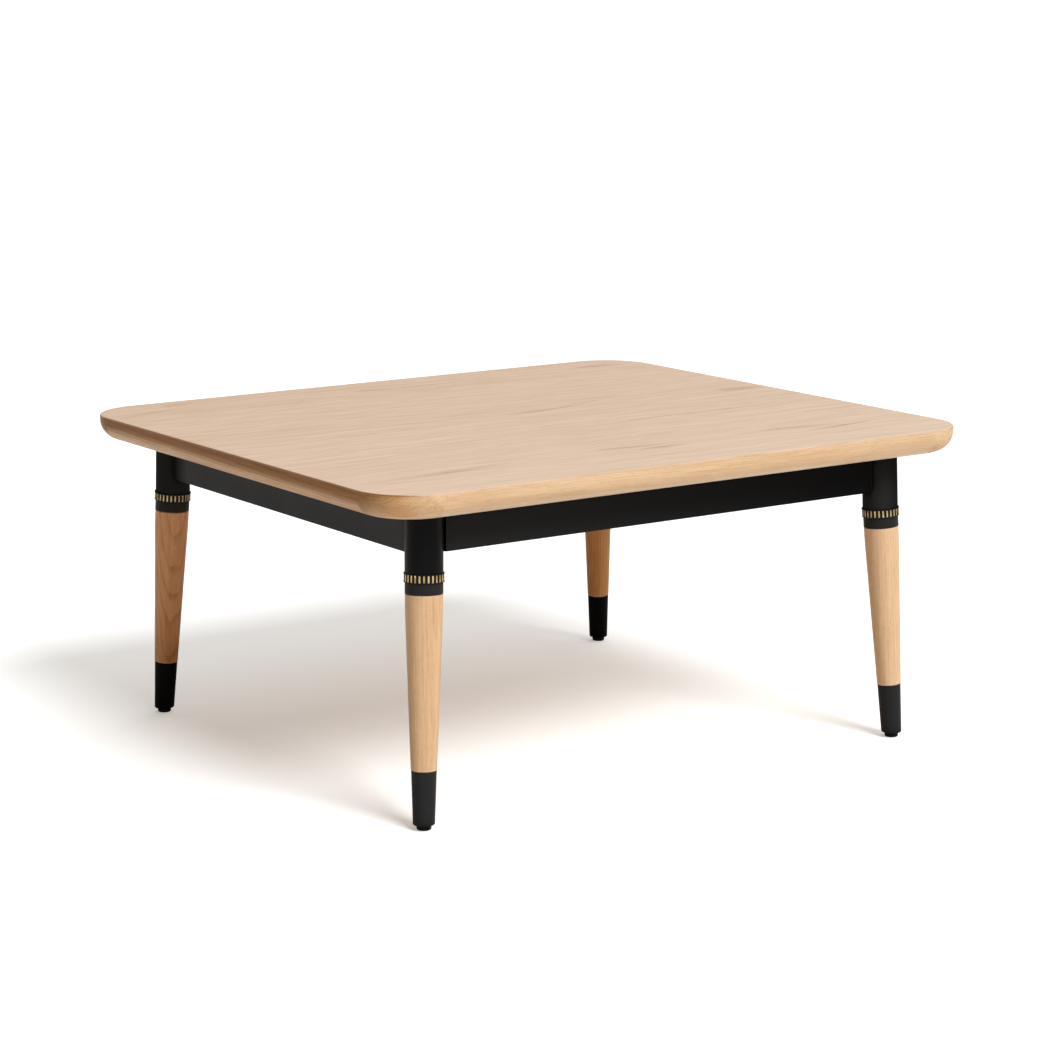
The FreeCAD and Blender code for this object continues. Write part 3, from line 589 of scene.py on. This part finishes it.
CORNER_STOCK = {
    "front_left": Stock((0.42, -0.40), (-0.70, 0.10), (0.74, 0.445, 0.23), (0.61, 0.335, 0.15), 0.0024, 0.36,
                        (PAINTED_LIGHT_BELOW,
                         Zone((-1.0, 0.0, 2.2), 0.010, 0.085, (0.55, 0.36, 0.06)),
                         Zone((-1.0, 0.0, 0.0), 0.0, 0.046, (0.84, 0.92, 1.12)),
                         Zone((1.0, 0.0, 0.0), -0.002, 0.044, (1.17, 1.39, 1.70))), 0.002),
    "front_right": Stock((0.35, -0.40), (0.15, 0.10), OAK_PALE, OAK_DARK, 0.0026, 0.24,
                         (Zone((0.6, 0.0, -2.2), -0.012, 0.034, (0.80, 0.74, 0.66)),)),
    "back_right": Stock((0.35, -0.30), (0.20, 0.10), OAK_PALE, OAK_DARK, 0.0026, 0.26),
    "back_left": Stock((0.30, -0.30), (0.20, 0.15), (0.74, 0.50, 0.32), (0.60, 0.39, 0.24), 0.0026, 0.30,
                       (Zone((1.0, 0.0, 2.2), 0.024, 0.058, (0.40, 0.23, 0.025)),
                        Zone((-1.0, 0.0, 0.0), -0.005, 0.035, (1.16, 1.24, 1.21)))),
}
# The legs' stock. The two legs at the back are browner copies of the oak, a painted shade, and the front
# right one a paler copy, a painted light. The back left one is also darker towards its foot.
LEG_STOCK = {
    "front_left": Stock((0.110, -0.085), (0.020, -0.015), LEG_PALE, LEG_DARK, 0.0042, 0.16),
    "front_right": Stock((-0.100, 0.090), (-0.020, 0.020), (0.84, 0.585, 0.36), (0.75, 0.50, 0.29),
                         0.0042, 0.14),
    "back_right": Stock((0.070, 0.040), (0.030, 0.040), (0.80, 0.41, 0.15), (0.64, 0.30, 0.10), 0.0042, 0.35),
    "back_left": Stock((-0.019, -0.023), (0.034, -0.080), (0.88, 0.47, 0.225), (0.72, 0.36, 0.155),
                       0.0056, 0.40,
                       (Zone((-1.0, 0.0, 0.0), -0.15, -0.075, (0.80, 0.74, 0.58)),), 0.012),
}


def dress_top():
    dress("face_veneer", veneer("oak_veneer_face", FACE_PALE, FACE_DARK, True))
    dress("back_veneer", veneer("oak_veneer_back", BACK_PALE, BACK_DARK, False))
    dress("core_panel", panel_core())
    for turns, side in enumerate(SIDES):
        node = f"lipping_{side}"
        turn = (0.0, 0.0, math.radians(90 * turns))
        dress(node, solid_wood(f"oak_{node}", middle(node), turn, SIDE_STOCK[side], LIPPING_WEAR_AND_HIGHLIGHT))
    for turns, corner in enumerate(CORNERS):
        node = f"lipping_corner_{corner}"
        turn = (0.0, 0.0, math.radians(90 * turns - 45))
        dress(node, solid_wood(f"oak_{node}", middle(node), turn, CORNER_STOCK[corner], LIPPING_WEAR_AND_HIGHLIGHT))


# Where the blacks' painted reflections and painted shade fade: across the whole table, before the end of the
# left rail, and about a sleeve's middle.
TABLE_SPAN = (-0.37, 0.37)
LEFT_RAIL_PAINTED_SHADE = (-0.042, -0.010)
SLEEVE_PAINTED_SHADE = (-0.010, 0.022)
# How wide the worn edges are on the rails and on the round parts.
RAIL_WORN = 0.002
ROUND_WORN = 0.0012


def dress_frame():
    """The blacks are lit and shaded copies of one powder coat, differing from piece to piece in place of what
    they mirror in the photograph: painted reflections and painted shade.
    """
    rail_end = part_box("rail_left")[1].y
    left_rail_span = tuple(rail_end + offset for offset in LEFT_RAIL_PAINTED_SHADE)
    sleeve_x = middle("sleeve_front_right").x
    sleeve_span = tuple(sleeve_x + offset for offset in SLEEVE_PAINTED_SHADE)
    # Painted reflection: the rails are lighter black at the table's left, fading to near black at its right.
    rail_steel = black_steel("black_rails", (0.0265, 0.0285, 0.0310), roughness=0.44, specular=0.03,
                             worn_width=RAIL_WORN, painted_fade=PaintedFade(X_AXIS, TABLE_SPAN, (0.0012, 0.0014, 0.0018)))
    # Painted reflection: the left rail is a lighter, bluer black; painted shade fades it to black before its
    # back end.
    left_steel = black_steel("black_rail_left", (0.0530, 0.0610, 0.0710), roughness=0.44, specular=0.03,
                             worn_width=RAIL_WORN, painted_fade=PaintedFade(Y_AXIS, left_rail_span, BLACK))
    # Painted shade: the near corner's sleeve, plate and plug are a darker black than the other corners'.
    near_steel = black_steel("black_near_corner", (0.0015, 0.0020, 0.0030), roughness=0.32, specular=0.10,
                             worn_width=ROUND_WORN)
    # Painted light and shade: the other corners are a lighter black, fading to near black right of the right
    # sleeves.
    far_steel = black_steel("black_corners", (0.0240, 0.0250, 0.0262), roughness=0.42, specular=0.005,
                            worn_width=ROUND_WORN, painted_fade=PaintedFade(X_AXIS, sleeve_span, (0.0008, 0.0008, 0.0008)))
    # Painted light: the collars and the front ferrules are a lighter black, fading a little across the table.
    turned_steel = black_steel("black_turned", (0.0220, 0.0230, 0.0245), roughness=0.40, specular=0.08,
                               worn_width=ROUND_WORN,
                               painted_fade=PaintedFade(X_AXIS, TABLE_SPAN, (0.0205, 0.0215, 0.0230)))
    # Painted shade: the back ferrules are a darker copy of the same black.
    dark_steel = black_steel("black_turned_back", (0.0040, 0.0040, 0.0042), roughness=0.42, specular=0.03,
                             worn_width=ROUND_WORN)
    for side in SIDES:
        dress(f"rail_{side}", left_steel if side == "left" else rail_steel)
    for corner in CORNERS:
        for part in ("sleeve", "corner_plate", "socket_plug"):
            dress(f"{part}_{corner}", near_steel if corner == "front_left" else far_steel)
        dress(f"collar_{corner}", turned_steel)
        dress(f"ferrule_{corner}", turned_steel if corner.startswith("front") else dark_steel)
    zinc = zinc_steel()
    for node in ("top_screws", "leg_studs", "foot_inserts"):
        dress(node, zinc)


def dress_legs():
    plastic = glide_plastic()
    for corner in CORNERS:
        foot, turn = leg_frame(corner)
        along = (turn.to_matrix() @ Matrix.Rotation(math.radians(-90), 3, "Y")).to_euler()
        dress(f"leg_{corner}", solid_wood(f"oak_leg_{corner}", foot, along, LEG_STOCK[corner], LEG_WEAR_AND_HIGHLIGHT))
        dress(f"brass_ring_{corner}", brass(corner))
        dress(f"glide_{corner}", plastic)


def floor_material():
    """White that keeps the table's shadow, and is clear when seen from below."""
    graph = material_graph("floor_white")
    bounce = graph.node("ShaderNodeBsdfDiffuse", Color=FLOOR_BOUNCE).outputs[0]
    shaded = graph.node("ShaderNodeBsdfDiffuse", Color=FLOOR_SHADED).outputs[0]
    glow = graph.node("ShaderNodeEmission", Color=FLOOR_GLOW, Strength=1.0).outputs[0]
    shaded_glow = graph.ordered("ShaderNodeAddShader", None, shaded, glow).outputs[0]
    to_camera = graph.node("ShaderNodeLightPath").outputs["Is Camera Ray"]
    above = graph.mix_shaders(to_camera, bounce, shaded_glow)
    clear = graph.node("ShaderNodeBsdfTransparent").outputs[0]
    from_below = graph.node("ShaderNodeNewGeometry").outputs["Backfacing"]
    return graph.surface(graph.mix_shaders(from_below, above, clear))


def add_floor():
    """A square floor that stays under the lowest glide."""
    mesh = bpy.data.meshes.new("floor")
    reach = FLOOR_REACH
    mesh.from_pydata([(-reach, -reach, 0), (reach, -reach, 0), (reach, reach, 0), (-reach, reach, 0)], [],
                     [(0, 1, 2, 3)])
    mesh.materials.append(floor_material())
    floor = bpy.data.objects.new("floor", mesh)
    floor.location.z = cad_box[0][2] - FLOOR_GAP
    bpy.context.scene.collection.objects.link(floor)
    for corner in CORNERS:
        under = floor.constraints.new("FLOOR")
        under.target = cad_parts[f"glide_{corner}"]
        under.floor_location = "FLOOR_NEGATIVE_Z"
        under.offset = floor.location.z


def add_world():
    """White to rays from the camera or from a mirror or glass, and a weak even light elsewhere."""
    world = bpy.data.worlds.new("studio")
    bpy.context.scene.world = world
    graph = Graph(world, "ShaderNodeOutputWorld")
    path = graph.node("ShaderNodeLightPath").outputs
    seen = graph.calc("MAXIMUM", path["Is Camera Ray"], path["Is Glossy Ray"])
    seen = graph.calc("MAXIMUM", seen, path["Is Transmission Ray"])
    strength = graph.grade(seen, WHOLE, (AMBIENT, BACKDROP_WHITE), smooth=False)
    light = graph.node("ShaderNodeBackground", Color=(1.0, 1.0, 1.0), Strength=strength)
    graph.surface(light.outputs[0])


def add_lamp(name, direction, strength, angle):
    lamp = bpy.data.lights.new(name, "SUN")
    lamp.energy = strength
    lamp.angle = math.radians(angle)
    holder = bpy.data.objects.new(name, lamp)
    holder.rotation_euler = Vector(direction).to_track_quat("Z", "Y").to_euler()
    holder.location = Vector(direction) * LAMP_DISTANCE
    bpy.context.scene.collection.objects.link(holder)


def add_camera():
    azimuth, elevation = math.radians(CAMERA_AZIMUTH), math.radians(CAMERA_ELEVATION)
    flat = math.cos(elevation)
    forward = Vector((math.sin(azimuth) * flat, math.cos(azimuth) * flat, -math.sin(elevation)))
    camera = bpy.data.cameras.new("photo_camera")
    camera.lens = CAMERA_LENS
    camera.sensor_width = CAMERA_SENSOR
    camera.clip_end = CAMERA_REACH
    holder = bpy.data.objects.new("photo_camera", camera)
    holder.location = CAMERA_PLACE
    roll = Quaternion((0, 0, 1), -math.radians(CAMERA_ROLL))
    holder.rotation_euler = (forward.to_track_quat("-Z", "Y") @ roll).to_euler()
    bpy.context.scene.collection.objects.link(holder)
    bpy.context.scene.camera = holder


bpy.context.scene.view_settings.view_transform = "Standard"
dress_top()
dress_frame()
dress_legs()
add_floor()
add_world()
add_lamp("soft_lamp", LAMP_FROM, LAMP_STRENGTH, LAMP_ANGLE)
add_lamp("fill_lamp", FILL_FROM, FILL_STRENGTH, FILL_ANGLE)
add_camera()
